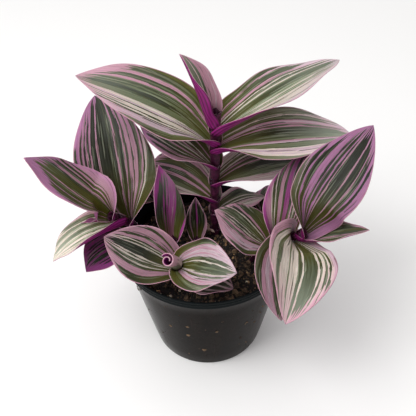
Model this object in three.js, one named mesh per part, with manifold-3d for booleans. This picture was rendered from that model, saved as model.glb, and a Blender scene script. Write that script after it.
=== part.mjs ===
// A potted tradescantia: a black nursery pot filled with potting soil, and leafy shoots
// whose striped leaves clasp their stems with tubular sheaths.
// Millimetres, +Z up. The origin is the middle of the pot's underside.

import * as THREE from "three";
import { mergeVertices } from "three/addons/utils/BufferGeometryUtils.js";
import Module from "manifold-3d";

const wasm = await Module();
wasm.setup();

// Pot
const rimRadius = 54;
const rimBandHeight = 5;
const rimLip = 2.2;
const rimRound = 0.5;
const potHeight = 82;
const footRadius = 37;
const footRound = 1.2;
const potWall = 1.6;
const potFloor = 2.4;
const potSides = 40;
const drainHoles = 6;
const drainHoleRadius = 4;
const drainHoleRing = 26;
const drainHoleSides = 12;

// Soil
const soilTop = 71;
const soilRelief = 1.1;
const moundsPerMm = [0.23, 0.19];
const crumbsPerMm = [0.61, 0.47];
const moundShare = 0.6;
const soilRings = 7;
const soilSides = 32;
const fitGap = 0.3;

// Stems and sheaths
const stemSides = 8;
const stemSteps = 9;
const holeSteps = 5;
const sheathWall = 0.9;
const sheathSides = 10;
const longestSheath = 9;
const shortestSheath = 2.5;
const sheathSpacing = 0.6;
const sheathTaper = 0.2;

// Leaf blades
const bladeThickness = 0.95;
const marginThickness = 0.7;
const tipHalfWidth = 0.45;
const bladeSpansAcross = 4;
const bladeStepLength = 9;
const fewestBladeSteps = 6;
const marginWave = 1;
const wavesPerLeaf = 2;
const widestShare = 0.4;
const tipSharpness = 0.85;
const claspRoom = 1.3;
const widestFoot = 0.92;
const footBelowRim = 1.5;
const footBite = 0.4;
const claspFold = 10;
const claspCup = 85;
const claspFade = 0.1;
const flareAngle = 40;
const flareLength = 4;
const uprightCosine = 0.97;
const rollShare = 0.25;
const midribSamples = 160;

const degrees = THREE.MathUtils.degToRad;
const looks = {
  pot: { color: 0x241c1a, roughness: 0.35 },
  soil: { color: 0x2a201a, roughness: 1 },
  stem: { color: 0x4a1f42, roughness: 0.5 },
  leaf: { color: 0x7c8a6f, roughness: 0.45 },
  withered: { color: 0xc9a98c, roughness: 0.8 },
};

// Every shoot: the radius of its stem and the three points of the bowed line that it follows,
// from its foot in the soil to its growing tip.
const shoots = {
  main: { radius: 2.3, foot: [6, 15, 58], bow: [6, 15, 112], tip: [7.5, 15, 168] },
  left: { radius: 1.8, foot: [-28, 6, 58], bow: [-44, 8, 92], tip: [-58, -4, 106] },
  right: { radius: 1.8, foot: [24, -8, 58], bow: [33, -12, 92], tip: [58, -26, 108] },
  front: { radius: 1.6, foot: [-12, -24, 58], bow: [-14, -30, 84], tip: [-18, -38, 100] },
  middle: { radius: 1.5, foot: [-20, 2, 58], bow: [-20, 1, 72], tip: [-21, -1, 86] },
  small: { radius: 1.2, foot: [-6, 4, 58], bow: [-6, 4, 68], tip: [-6, 4, 80] },
  rear_left: { radius: 1.6, foot: [-26, 30, 58], bow: [-28, 34, 76], tip: [-32, 40, 91] },
  rear_right: { radius: 1.6, foot: [36, 14, 58], bow: [38, 18, 78], tip: [44, 24, 92] },
};

// Every leaf, from the lowest to the youngest on its shoot. "at" is its place along the stem,
// "turn" its heading (0 is +X, 90 is +Y), "rise" how steeply it sets out and "arch" how far it
// bends over by its tip, "sweep" how far it swings sideways, "roll" its tilt round its own
// length, and "fold" and "cup" the slope of its halves at the midrib and how far they bend up.
const leafColumns =
  ["name", "on", "at", "turn", "rise", "length", "width", "arch", "sweep", "roll", "fold", "cup"];
const leafRows = [
  ["main_1", "main", 0.30, 23, 20, 36, 25, 50, 10, -8, 4, 20],
  ["main_2", "main", 0.40, 146, 24, 60, 35, 50, -2, -4, 6, 22],
  ["main_3", "main", 0.52, 24, 16, 64, 34, 42, 0, 12, 5, 22],
  ["main_4", "main", 0.64, 143, 33, 59, 36, 52, -4, -18, 7, 22],
  ["main_5", "main", 0.745, 6, 14, 86, 36, 36, 18, 28, 5, 22],
  ["main_6", "main", 0.79, 168, 46, 88, 42, 44, -6, -22, 2, 22],
  ["main_7", "main", 0.86, 20, 32, 86, 40, 32, 15, -5, 1, 22],
  ["main_8", "main", 0.90, 170, 84, 47, 26, 22, 6, -20, 14, 25],
  ["main_9", "main", 0.98, 165, 85, 11, 7, 10, 0, 0, 30, 50],
  ["left_1", "left", 0.58, 218, -5, 38, 32, 36, 0, -10, 2, 20],
  ["left_2", "left", 0.65, 118, 63, 84, 50, 42, -12, -8, 6, 14],
  ["left_3", "left", 0.76, 207, 8, 47, 30, 42, 0, 0, 7, 37],
  ["left_4", "left", 0.97, 201, 49, 64, 35, 2, -13, -14, -7, 19],
  ["left_5", "left", 0.86, 190, 6, 20, 5, 5, 0, 0, 30, 50],
  ["right_1", "right", 0.54, 174, 42, 38, 35, 10, -7, -12, -8, 22],
  ["right_2", "right", 0.70, 268, 5, 48, 32, 66, 0, 0, 6, 22],
  ["right_3", "right", 0.62, 51, 56, 62, 29, 24, 0, 12, 8, 22],
  ["right_4", "right", 0.86, 275, 22, 62, 45, 50, -28, -22, 13, 25],
  ["right_5", "right", 0.98, 37, 54, 72, 41, 27, 8, 12, -2, 22],
  ["right_6", "right", 0.92, -19, 25, 40, 21, 0, 8, 6, 22, 25],
  ["front_1", "front", 0.58, -25, 12, 30, 26, 28, 4, 8, 3, 20],
  ["front_2", "front", 0.76, 175, 28, 45, 36, 18, -22, -38, 7, 25],
  ["front_3", "front", 0.86, -37, 32, 37, 34, 28, 17, 25, 4, 25],
  ["middle_1", "middle", 0.80, 124, 80, 52, 21, 4, 0, -6, 8, 22],
  ["small_1", "small", 0.85, 90, 86, 30, 15, 6, 0, 0, 10, 25],
  ["rear_left_1", "rear_left", 0.72, 175, 38, 37, 24, 35, 0, 0, 5, 22],
  ["rear_left_2", "rear_left", 0.82, 70, 35, 48, 28, 45, 0, 0, 5, 22],
  ["rear_left_3", "rear_left", 0.96, 130, 30, 28, 18, 15, 0, 0, 10, 30],
  ["rear_right_1", "rear_right", 0.66, 78, 37, 24, 19, 40, 0, 0, 4, 22],
  ["rear_right_2", "rear_right", 0.82, -7, 15, 42, 28, 30, 0, -3, 5, 22],
  ["rear_right_3", "rear_right", 0.96, 40, 50, 30, 18, 25, 0, 0, 10, 30],
  ["withered", "main", 0.17, 200, 30, 17, 9, 10, 0, 30, 30, 60],
];
const leaves = leafRows.map((row) =>
  Object.fromEntries(leafColumns.map((column, i) => [column, row[i]])));

// Young leaves that are still curled: how tightly and how far along their base stays closed.
const curls = {
  main_7: { fade: 0.14 },
  main_8: { fade: 0.2 },
  left_3: { fade: 0.3, cup: 95 },
  right_6: { fade: 0.25, cup: 90 },
};

// The front shoot's rolled leaf: where its mouth is, and how its sheet is wound.
const rolledLeaf = {
  mouth: [-21.5, -45, 109],
  overlap: 3,
  turns: 1.45,
  footSpread: 1.5,
  innerRadius: 1.3,
  mouthRadius: 4.2,
  steps: 5,
  spans: 14,
};

const group = new THREE.Group();

function addNode(name, geometry, look) {
  const mesh = new THREE.Mesh(geometry, new THREE.MeshStandardMaterial(look));
  mesh.name = name;
  group.add(mesh);
}

function toSolid(geometry) {
  const bare = geometry.clone();
  bare.deleteAttribute("normal");
  bare.deleteAttribute("uv");
  const merged = mergeVertices(bare, 1e-4);
  return new wasm.Manifold(new wasm.Mesh({
    numProp: 3,
    vertProperties: merged.attributes.position.array,
    triVerts: new Uint32Array(merged.index.array),
  }));
}

function toGeometry(solid) {
  const mesh = solid.getMesh();
  const geometry = new THREE.BufferGeometry();
  geometry.setAttribute("position", new THREE.BufferAttribute(mesh.vertProperties, 3));
  geometry.setIndex(new THREE.BufferAttribute(mesh.triVerts, 1));
  return geometry;
}

// A lathe's axis is Y; this stands it up along Z.
function turned(profile, sides) {
  const points = profile.map(([radius, height]) => new THREE.Vector2(radius, height));
  return new THREE.LatheGeometry(points, sides).rotateX(Math.PI / 2);
}

// The pot's body flares evenly from its foot to the underside of the rim band.
const bodyTop = potHeight - rimBandHeight;
const bodyTopRadius = rimRadius - rimLip;

function bodyRadius(z) {
  return footRadius + ((bodyTopRadius - footRadius) * z) / bodyTop;
}

function makePot() {
  const inside = bodyRadius(potFloor) - potWall;
  const mouth = rimRadius - potWall;
  const shell = toSolid(turned([
    [0, 0],
    [footRadius - footRound, 0],
    [footRadius, footRound],
    [bodyTopRadius, bodyTop],
    [rimRadius - rimRound, bodyTop],
    [rimRadius, bodyTop + rimRound],
    [rimRadius, potHeight - rimRound],
    [rimRadius - rimRound, potHeight],
    [mouth, potHeight],
    [mouth - rimRound, potHeight - rimRound],
    [bodyTopRadius - potWall, bodyTop - potWall],
    [inside, potFloor],
    [0, potFloor],
  ], potSides));
  let pot = shell;
  for (let i = 0; i < drainHoles; i += 1) {
    const angle = ((i + 0.5) * 2 * Math.PI) / drainHoles;
    const radius = drainHoleRadius;
    const drill = new THREE.CylinderGeometry(radius, radius, 4 * potFloor, drainHoleSides);
    drill.rotateX(Math.PI / 2);
    drill.translate(drainHoleRing * Math.cos(angle), drainHoleRing * Math.sin(angle), 0);
    pot = pot.subtract(toSolid(drill));
  }
  addNode("pot", toGeometry(pot), looks.pot);
}

function stemCurve(shoot) {
  const points = [shoot.foot, shoot.bow, shoot.tip].map((p) => new THREE.Vector3(...p));
  return new THREE.QuadraticBezierCurve3(...points);
}

function roundBar(curve, radius, steps) {
  const section = new THREE.Shape();
  for (let i = 0; i < stemSides; i += 1) {
    const angle = (i * 2 * Math.PI) / stemSides;
    const x = radius * Math.cos(angle);
    const y = radius * Math.sin(angle);
    if (i === 0) section.moveTo(x, y);
    else section.lineTo(x, y);
  }
  section.closePath();
  return new THREE.ExtrudeGeometry(section, { steps, extrudePath: curve });
}

// Crumbled soil: low mounds and hollows from a few crossing waves, and level at the wall.
function soilHeight(x, y) {
  const edge = bodyRadius(soilTop) - potWall - fitGap;
  const calm = 1 - (Math.hypot(x, y) / edge) ** 6;
  const mounds = Math.sin(moundsPerMm[0] * x + 1) * Math.cos(moundsPerMm[1] * y);
  const crumbs = Math.sin(crumbsPerMm[0] * (x - y)) * Math.cos(crumbsPerMm[1] * (x + y));
  return soilTop + soilRelief * calm * (moundShare * mounds + (1 - moundShare) * crumbs);
}

function makeSoil() {
  const bottom = potFloor + fitGap;
  const bottomRadius = bodyRadius(bottom) - potWall - fitGap;
  const topRadius = bodyRadius(soilTop) - potWall - fitGap;
  const positions = [0, 0, soilHeight(0, 0)];
  for (let ring = 1; ring <= soilRings; ring += 1) {
    for (let side = 0; side < soilSides; side += 1) {
      const radius = (topRadius * ring) / soilRings;
      const angle = (side * 2 * Math.PI) / soilSides;
      const x = radius * Math.cos(angle);
      const y = radius * Math.sin(angle);
      positions.push(x, y, ring === soilRings ? soilTop : soilHeight(x, y));
    }
  }
  for (let side = 0; side < soilSides; side += 1) {
    const angle = (side * 2 * Math.PI) / soilSides;
    positions.push(bottomRadius * Math.cos(angle), bottomRadius * Math.sin(angle), bottom);
  }
  const low = positions.length / 3;
  positions.push(0, 0, bottom);
  const at = (ring, side) => 1 + (ring - 1) * soilSides + (side % soilSides);
  const faces = [];
  for (let side = 0; side < soilSides; side += 1) {
    faces.push(0, at(1, side), at(1, side + 1));
    for (let ring = 1; ring <= soilRings; ring += 1) {
      faces.push(at(ring, side), at(ring + 1, side), at(ring + 1, side + 1));
      faces.push(at(ring, side), at(ring + 1, side + 1), at(ring, side + 1));
    }
    faces.push(low, at(soilRings + 1, side + 1), at(soilRings + 1, side));
  }
  const geometry = new THREE.BufferGeometry();
  geometry.setAttribute("position", new THREE.Float32BufferAttribute(positions, 3));
  geometry.setIndex(faces);
  let soil = toSolid(geometry);
  for (const shoot of Object.values(shoots)) {
    const curve = stemCurve(shoot);
    const below = curve.getPoint(0).addScaledVector(curve.getTangent(0), -fitGap);
    const hole = new THREE.CatmullRomCurve3([below, ...curve.getPoints(holeSteps)]);
    soil = soil.subtract(toSolid(roundBar(hole, shoot.radius + fitGap, 2 * holeSteps)));
  }
  addNode("soil", toGeometry(soil), looks.soil);
}

// The tube of the leaf base that wraps the stem just below the blade, between two shares.
function makeSheath(shoot, curve, from, to) {
  const inner = shoot.radius + fitGap;
  const outer = inner + sheathWall;
  const half = curve.getPoint(from).distanceTo(curve.getPoint(to)) / 2;
  const foot = outer - sheathTaper;
  const profile = [[inner, -half], [foot, -half], [outer, half], [inner, half], [inner, -half]];
  const points = profile.map(([radius, height]) => new THREE.Vector2(radius, height));
  const tube = new THREE.LatheGeometry(points, sheathSides);
  const middle = (from + to) / 2;
  const upright = new THREE.Vector3(0, 1, 0);
  tube.applyQuaternion(new THREE.Quaternion().setFromUnitVectors(upright, curve.getTangent(middle)));
  tube.translate(...curve.getPoint(middle).toArray());
  return tube;
}

// The share of its full half-width that a leaf has at a share t of its length.
function widthShare(t, base) {
  const skew = Math.log(0.5) / Math.log(widestShare);
  const oval = Math.max(Math.sin(Math.PI * t ** skew), 0) ** tipSharpness;
  const foot = base * (1 - t) ** 3;
  return foot + (1 - foot) * oval;
}

// The way that a leaf's free midrib runs at a share t of its length: it rises, arches and sweeps.
function freeDirection(leaf, t) {
  const climb = degrees(leaf.rise - leaf.arch * t);
  const heading = degrees(leaf.turn + leaf.sweep * t);
  const level = Math.cos(climb);
  return new THREE.Vector3(level * Math.cos(heading), level * Math.sin(heading), Math.sin(climb));
}

// The direction square to the stem on the leaf's side of it.
function outward(leaf, stemUp) {
  const heading = degrees(leaf.turn);
  const out = freeDirection(leaf, 0);
  if (out.dot(stemUp) > uprightCosine) out.set(Math.cos(heading), Math.sin(heading), 0);
  return out.addScaledVector(stemUp, -out.dot(stemUp)).normalize();
}

// The midrib's frame at a share t: the way it runs, its left side and the way its face looks.
// A steep leaf first flares away from the stem, and only then turns up to its rise.
function midribFrame(leaf, stemUp, t) {
  const along = freeDirection(leaf, t);
  const flare = degrees(flareAngle);
  if (freeDirection(leaf, 0).dot(stemUp) > Math.sin(flare)) {
    const flared = outward(leaf, stemUp).multiplyScalar(Math.cos(flare));
    flared.addScaledVector(stemUp, Math.sin(flare));
    along.lerp(flared, Math.exp((-t * leaf.length) / flareLength)).normalize();
  }
  const heading = degrees(leaf.turn + leaf.sweep * t);
  const side = new THREE.Vector3(-Math.sin(heading), Math.cos(heading), 0);
  const face = new THREE.Vector3().crossVectors(along, side).normalize();
  side.crossVectors(face, along);
  return { along, side, face };
}

// The roll that turns the leaf's face to the stem at its foot, so that it clasps the stem.
function claspRoll(leaf, stemUp) {
  const { side, face } = midribFrame(leaf, stemUp, 0);
  return Math.atan2(-stemUp.dot(side), stemUp.dot(face));
}

function midribPoints(leaf, stemUp, start, steps) {
  const points = [start.clone()];
  const place = start.clone();
  const perStep = Math.ceil(midribSamples / steps);
  for (let i = 0; i < steps; i += 1) {
    for (let j = 0; j < perStep; j += 1) {
      const t = (i + (j + 0.5) / perStep) / steps;
      place.addScaledVector(midribFrame(leaf, stemUp, t).along, leaf.length / steps / perStep);
    }
    points.push(place.clone());
  }
  return points;
}

// A blade: a closed sheet round the midrib, cupped hard where it clasps the stem and opening
// out along its length, with waved margins. Both faces are split along the same diagonals.
function makeBlade(leaf, stemUp, start, claspRadius) {
  const steps = Math.max(fewestBladeSteps, Math.round(leaf.length / bladeStepLength));
  const across = bladeSpansAcross;
  const curl = { fade: claspFade, cup: claspCup, ...curls[leaf.name] };
  const claspBend = degrees(claspFold + claspCup);
  const reach = (Math.sin(claspBend) - Math.sin(degrees(claspFold))) / degrees(claspCup);
  const base = Math.min(claspRadius / reach / (leaf.width / 2), widestFoot);
  const midrib = midribPoints(leaf, stemUp, start, steps);
  const footRoll = claspRoll(leaf, stemUp);
  const upper = [];
  const lower = [];
  for (let i = 0; i <= steps; i += 1) {
    const t = i / steps;
    const { along, side, face } = midribFrame(leaf, stemUp, t);
    const turned = Math.min(t / rollShare, 1);
    const roll = footRoll + (degrees(leaf.roll) - footRoll) * turned;
    side.applyAxisAngle(along, roll);
    face.applyAxisAngle(along, roll);
    const half = Math.max((leaf.width / 2) * widthShare(t, base), tipHalfWidth);
    const closed = Math.exp(-t / curl.fade);
    const fold = degrees(leaf.fold * (1 - closed) + claspFold * closed);
    const cup = degrees(leaf.cup * (1 - closed) + curl.cup * closed);
    for (let j = 0; j <= across; j += 1) {
      const u = (2 * j) / across - 1;
      const hand = Math.sign(u);
      const slope = fold + cup * Math.abs(u);
      const out = (half * hand * (Math.sin(slope) - Math.sin(fold))) / cup;
      const ripple = Math.sin(2 * Math.PI * (wavesPerLeaf * t + 0.25 * hand));
      const wave = marginWave * Math.abs(u) ** 3 * ripple * Math.min(6 * t * (1 - t), 1);
      const lift = (half * (Math.cos(fold) - Math.cos(slope))) / cup + wave;
      const middle = midrib[i].clone().addScaledVector(side, out).addScaledVector(face, lift);
      const thick = bladeThickness + (marginThickness - bladeThickness) * Math.abs(u);
      const normal = face.clone().applyAxisAngle(along, hand * slope);
      upper.push(middle.clone().addScaledVector(normal, thick / 2));
      lower.push(middle.clone().addScaledVector(normal, -thick / 2));
    }
  }
  return closeSheet(upper, lower, steps, across);
}

function closeSheet(upper, lower, steps, across) {
  const positions = [...upper, ...lower].flatMap((p) => p.toArray());
  const top = (i, j) => i * (across + 1) + j;
  const under = (i, j) => upper.length + top(i, j);
  const faces = [];
  const quad = (a, b, c, d) => faces.push(a, b, c, a, c, d);
  for (let i = 0; i < steps; i += 1) {
    for (let j = 0; j < across; j += 1) {
      quad(top(i, j), top(i + 1, j), top(i + 1, j + 1), top(i, j + 1));
      faces.push(under(i, j), under(i + 1, j + 1), under(i + 1, j));
      faces.push(under(i, j), under(i, j + 1), under(i + 1, j + 1));
    }
    quad(top(i, 0), under(i, 0), under(i + 1, 0), top(i + 1, 0));
    quad(top(i, across), top(i + 1, across), under(i + 1, across), under(i, across));
  }
  for (let j = 0; j < across; j += 1) {
    quad(top(0, j), top(0, j + 1), under(0, j + 1), under(0, j));
    quad(top(steps, j), under(steps, j), under(steps, j + 1), top(steps, j + 1));
  }
  const geometry = new THREE.BufferGeometry();
  geometry.setAttribute("position", new THREE.Float32BufferAttribute(positions, 3));
  geometry.setIndex(faces);
  return geometry;
}

// How much of the stem below a leaf is free for its sheath, down to the next leaf or the soil.
function sheathRoom(leaf, curve) {
  const below = leaves.filter((other) => other.on === leaf.on && other.at < leaf.at);
  const next = Math.max(0, ...below.map((other) => other.at));
  const toLeaf = (leaf.at - next) * curve.getLength() - sheathSpacing;
  const toSoil = curve.getPoint(leaf.at).z - soilTop - soilRelief - fitGap;
  return THREE.MathUtils.clamp(Math.min(toLeaf, toSoil), shortestSheath, longestSheath);
}

function makeLeaf(leaf) {
  const shoot = shoots[leaf.on];
  const curve = stemCurve(shoot);
  const room = sheathRoom(leaf, curve);
  const outer = shoot.radius + fitGap + sheathWall;
  const stemUp = curve.getTangent(leaf.at);
  const start = curve.getPoint(leaf.at);
  start.addScaledVector(stemUp, -Math.min(room / 2, footBelowRim));
  start.addScaledVector(outward(leaf, stemUp), outer - footBite);
  const blade = toSolid(makeBlade(leaf, stemUp, start, outer + claspRoom));
  const sheath = toSolid(makeSheath(shoot, curve, leaf.at - room / curve.getLength(), leaf.at));
  const look = leaf.name === "withered" ? looks.withered : looks.leaf;
  addNode("leaf_" + leaf.name, toGeometry(sheath.add(blade)), look);
}

// The front shoot's youngest leaf, still rolled up round the tip of its stem: one sheet wound
// into a funnel that opens towards its mouth.
function makeRolledLeaf() {
  const shoot = shoots.front;
  const tip = new THREE.Vector3(...shoot.tip);
  const mouth = new THREE.Vector3(...rolledLeaf.mouth);
  const axis = stemCurve(shoot).getTangent(1);
  const foot = tip.clone().addScaledVector(axis, -rolledLeaf.overlap);
  const path = new THREE.QuadraticBezierCurve3(foot, tip, mouth);
  const upper = [];
  const lower = [];
  for (let i = 0; i <= rolledLeaf.steps; i += 1) {
    const t = i / rolledLeaf.steps;
    const along = path.getTangent(t);
    const side = new THREE.Vector3(0, 0, 1).cross(along).normalize();
    const up = new THREE.Vector3().crossVectors(along, side);
    for (let j = 0; j <= rolledLeaf.spans; j += 1) {
      const u = j / rolledLeaf.spans;
      const angle = 2 * Math.PI * rolledLeaf.turns * u;
      const narrow = shoot.radius + fitGap + bladeThickness / 2 + rolledLeaf.footSpread * u;
      const wide = THREE.MathUtils.lerp(rolledLeaf.innerRadius, rolledLeaf.mouthRadius, u);
      const radius = THREE.MathUtils.lerp(narrow, wide, t);
      const ray = side.clone().multiplyScalar(Math.cos(angle)).addScaledVector(up, Math.sin(angle));
      const middle = path.getPoint(t);
      upper.push(middle.clone().addScaledVector(ray, radius - marginThickness / 2));
      lower.push(middle.clone().addScaledVector(ray, radius + marginThickness / 2));
    }
  }
  const sheet = closeSheet(upper, lower, rolledLeaf.steps, rolledLeaf.spans);
  addNode("leaf_front_4", toGeometry(toSolid(sheet)), looks.leaf);
}

makePot();
makeSoil();
for (const [name, shoot] of Object.entries(shoots)) {
  addNode("stem_" + name, roundBar(stemCurve(shoot), shoot.radius, stemSteps), looks.stem);
}
for (const leaf of leaves) makeLeaf(leaf);
makeRolledLeaf();

export default group;
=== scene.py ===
# %% [markdown]
# # A potted tradescantia
# A small black nursery pot of soil holds leafy shoots. Each leaf is a pointed oval, striped
# lengthwise in green, cream and pink, with a magenta underside, and its base is a tube that
# clasps a dark purple stem. The solids are already made, so this lesson dresses them: every
# leaf is drawn again from the same rule with many more faces, and gets its stripes.

# %% Load the solids
from collections import namedtuple
from math import atan2, ceil, cos, degrees, exp, hypot, log, pi, radians, sin

import bmesh
import bpy
import numpy as np
from mathutils import Matrix, Vector


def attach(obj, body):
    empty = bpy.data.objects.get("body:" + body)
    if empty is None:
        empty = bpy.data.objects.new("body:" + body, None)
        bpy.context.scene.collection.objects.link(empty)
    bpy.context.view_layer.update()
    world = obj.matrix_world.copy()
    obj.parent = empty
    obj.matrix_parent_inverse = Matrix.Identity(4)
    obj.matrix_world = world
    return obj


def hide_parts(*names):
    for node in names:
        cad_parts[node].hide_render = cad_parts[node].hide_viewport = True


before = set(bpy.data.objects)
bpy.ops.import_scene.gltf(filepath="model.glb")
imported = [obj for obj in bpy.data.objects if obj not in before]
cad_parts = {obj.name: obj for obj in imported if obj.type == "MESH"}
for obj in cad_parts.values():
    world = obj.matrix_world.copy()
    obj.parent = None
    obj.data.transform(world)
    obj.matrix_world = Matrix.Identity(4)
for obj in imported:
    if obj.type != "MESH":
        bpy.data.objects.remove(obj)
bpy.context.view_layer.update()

MM = 0.001

# %% [markdown]
# ## The view
# The plant is seen from the front and well above, at about 41 degrees, from a little under
# half a metre away. The camera is made first, because everything later is judged through it.
# A slight roll levels the rim of the pot. The Standard view keeps the colours as the materials
# give them, so that the stripes stay clear and the pinks stay pink.

# %% Camera
LOOK_AT = Vector((1.7, 0, 107)) * MM
CAMERA_AT = Vector((1.7, -283.3, 356.4)) * MM
CAMERA_ROLL = radians(-1.4)
LENS, NEAREST_SEEN = 53.9, 0.01


def in_scene(name, data):
    """A new object that holds a mesh, a lamp or a camera, put in the scene."""
    item = bpy.data.objects.new(name, data)
    bpy.context.scene.collection.objects.link(item)
    return item


camera = in_scene("view", bpy.data.cameras.new("view"))
camera.data.lens = LENS
camera.data.clip_start = NEAREST_SEEN
turn = (LOOK_AT - CAMERA_AT).to_track_quat("-Z", "Y").to_matrix()
turn = turn @ Matrix.Rotation(CAMERA_ROLL, 3, "Z")
camera.matrix_world = Matrix.Translation(CAMERA_AT) @ turn.to_4x4()
bpy.context.scene.camera = camera
bpy.context.scene.view_settings.view_transform = "Standard"
print("camera at", [round(v, 3) for v in CAMERA_AT])

# %% [markdown]
# ## Helpers for materials
# A material here is a little graph of nodes, and a recipe holds it. Each of its steps adds a
# node, wires its inputs and gives its output, so that a finish reads as a list of steps, from
# the first noise to the last tint.

# %% Colours and inputs
def colour(code):
    """A colour written as RRGGBB, in the linear values that the shaders use."""
    parts = [int(code[i : i + 2], 16) / 255 for i in (0, 2, 4)]
    return tuple(p / 12.92 if p <= 0.04045 else ((p + 0.055) / 1.055) ** 2.4 for p in parts) + (1.0,)


def wire(tree, socket, value):
    """Links an output to an input, or gives the input a plain value or an RRGGBB colour."""
    if isinstance(value, bpy.types.NodeSocket):
        tree.links.new(value, socket)
    else:
        socket.default_value = colour(value) if isinstance(value, str) else value


def set_inputs(tree, node, **values):
    """Sets inputs by label, with _ for each space in it."""
    for name, value in values.items():
        wire(tree, node.inputs[name.replace("_", " ")], value)


# %% Recipe for a material
class Recipe:
    """A material and its graph of nodes. add gives the new node, most other steps its output."""

    def __init__(self, name):
        self.material = bpy.data.materials.new(name)
        self.material.use_nodes = True
        self.tree = self.material.node_tree

    def finish(self, **values):
        """Sets the shader's own inputs, and gives the material."""
        set_inputs(self.tree, self.tree.nodes["Principled BSDF"], **values)
        return self.material

    def fleshy(self, base, rough, gloss=0.25, glow=0.06, reach=0.0015):
        """Juicy plant skin: a little of the light goes in and comes out again close by."""
        return self.finish(Base_Color=base, Roughness=rough, Specular_IOR_Level=gloss,
                           Subsurface_Weight=glow, Subsurface_Scale=reach)

    def add(self, kind, **values):
        node = self.tree.nodes.new("ShaderNode" + kind)
        set_inputs(self.tree, node, **values)
        return node

    def maths(self, operation, a, b=0.0):
        node = self.add("Math")
        node.operation = operation
        wire(self.tree, node.inputs[0], a)
        wire(self.tree, node.inputs[1], b)
        return node.outputs[0]

    def times(self, a, b):
        return self.maths("MULTIPLY", a, b)

    def plus(self, a, b):
        return self.maths("ADD", a, b)

    def blend(self, share, a, b, how="MIX"):
        """Colour b laid over colour a, by a share from 0 to 1."""
        node = self.add("Mix")
        node.data_type = "RGBA"
        node.blend_type = how
        for index, value in ((0, share), (6, a), (7, b)):
            wire(self.tree, node.inputs[index], value)
        return node.outputs[2]

    def ranged(self, value, low, high, to_low=0.0, to_high=1.0, smooth=False):
        """A value's way from low to high, as a way from to_low to to_high, held at both ends."""
        node = self.add("MapRange", Value=value, From_Min=low, From_Max=high,
                        To_Min=to_low, To_Max=to_high)
        node.interpolation_type = "SMOOTHSTEP" if smooth else "LINEAR"
        return node.outputs[0]

    def place(self, scale=(1, 1, 1)):
        """The piece's own coordinates in metres, stretched."""
        source = self.add("TexCoord").outputs["Object"]
        return self.add("Mapping", Vector=source, Scale=scale).outputs["Vector"]

    def mapped(self, label):
        """Where a point is on one of the piece's own maps."""
        layer = self.add("UVMap")
        layer.uv_map = label
        return self.add("SeparateXYZ", Vector=layer.outputs[0]).outputs

    def noise(self, where, scale, detail=2.0, rough=0.5):
        node = self.add("TexNoise", Vector=where, Scale=scale, Detail=detail, Roughness=rough)
        return node.outputs["Fac"]

    def bump(self, height, distance, strength=1.0):
        node = self.add("Bump", Height=height, Distance=distance, Strength=strength)
        self.finish(Normal=node.outputs["Normal"])


# %% [markdown]
# ## Floor and light
# A plain pale floor and a pale sky give the white surroundings of a product picture. Most of
# the light falls from above, wide and soft as from a bright ceiling, so the upper leaves shade
# the lower ones. One small lamp high on the left adds a gentle gloss, and nothing is bright
# enough to burn out the cream stripes.

# %% Floor, sky and lamps
FLOOR_SIZE, SKY_STRENGTH = 6.0, 0.4
CEILING_POWER, CEILING_WIDTH, CEILING_WAY = 1.4, radians(110), Vector((0.25, 0.05, -1))
KEY_POWER, KEY_SIZE, KEY_PLACE = 8, 0.6, Vector((-0.55, -0.35, 1.05))


def make_lamp(name, kind, power, way):
    """A lamp that shines along a way."""
    data = bpy.data.lights.new(name, kind)
    data.energy = power
    lamp = in_scene(name, data)
    lamp.rotation_mode = "QUATERNION"
    lamp.rotation_quaternion = way.to_track_quat("-Z", "Y")
    return lamp


half = FLOOR_SIZE / 2
corners = [(-half, -half, 0), (half, -half, 0), (half, half, 0), (-half, half, 0)]
floor = in_scene("floor", bpy.data.meshes.new("floor"))
floor.data.from_pydata(corners, [], [(0, 1, 2, 3)])
floor.data.materials.append(Recipe("pale_floor").finish(Base_Color="F4F3F2", Roughness=0.9))
sky = bpy.data.worlds.new("sky")
sky.use_nodes = True
set_inputs(sky.node_tree, sky.node_tree.nodes["Background"], Color="FFFFFF", Strength=SKY_STRENGTH)
bpy.context.scene.world = sky
make_lamp("ceiling", "SUN", CEILING_POWER, CEILING_WAY).data.angle = CEILING_WIDTH
key_lamp = make_lamp("key", "AREA", KEY_POWER, LOOK_AT - KEY_PLACE)
key_lamp.location = KEY_PLACE
key_lamp.data.size = KEY_SIZE

# %% [markdown]
# ## Helpers for meshes
# Most pieces here are rings of points up a tube, or rows of points along a leaf. One function
# joins rings into faces, one makes a smooth-shaded piece of points and faces, and one finishes
# a piece: it lets it ride on the part's one body, hides the solid that it stands for, and prints
# how many faces it has.

# %% Mesh helpers
def circle(sides):
    """The cosine and the sine of evenly spaced angles, once round."""
    angles = [2 * pi * side / sides for side in range(sides)]
    return [(cos(angle), sin(angle)) for angle in angles]


def tube_faces(rings, sides, first=0):
    """Quads between neighbouring rings of points, all the way round."""
    at = lambda i, j: first + i * sides + j % sides
    quads = [(i, j) for i in range(rings - 1) for j in range(sides)]
    return [(at(i, j), at(i + 1, j), at(i + 1, j + 1), at(i, j + 1)) for i, j in quads]


def new_piece(name, points, faces, materials, face_slots=None, maps=None):
    """A smooth-shaded piece that faces outwards. Each map gives every point a place on it."""
    mesh = bpy.data.meshes.new(name)
    mesh.from_pydata([tuple(p) for p in points], [], faces)
    for material in materials:
        mesh.materials.append(material)
    if face_slots is not None:
        mesh.polygons.foreach_set("material_index", face_slots)
    mesh.shade_smooth()
    for label, places in (maps or {}).items():
        layer = mesh.uv_layers.new(name=label)
        corners = [places[loop.vertex_index] for loop in mesh.loops]
        layer.data.foreach_set("uv", np.array(corners, dtype=np.float32).ravel())
    mesh.validate()
    shape = bmesh.new()
    shape.from_mesh(mesh)
    bmesh.ops.recalc_face_normals(shape, faces=shape.faces)
    shape.to_mesh(mesh)
    shape.free()
    return in_scene(name, mesh)


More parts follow.
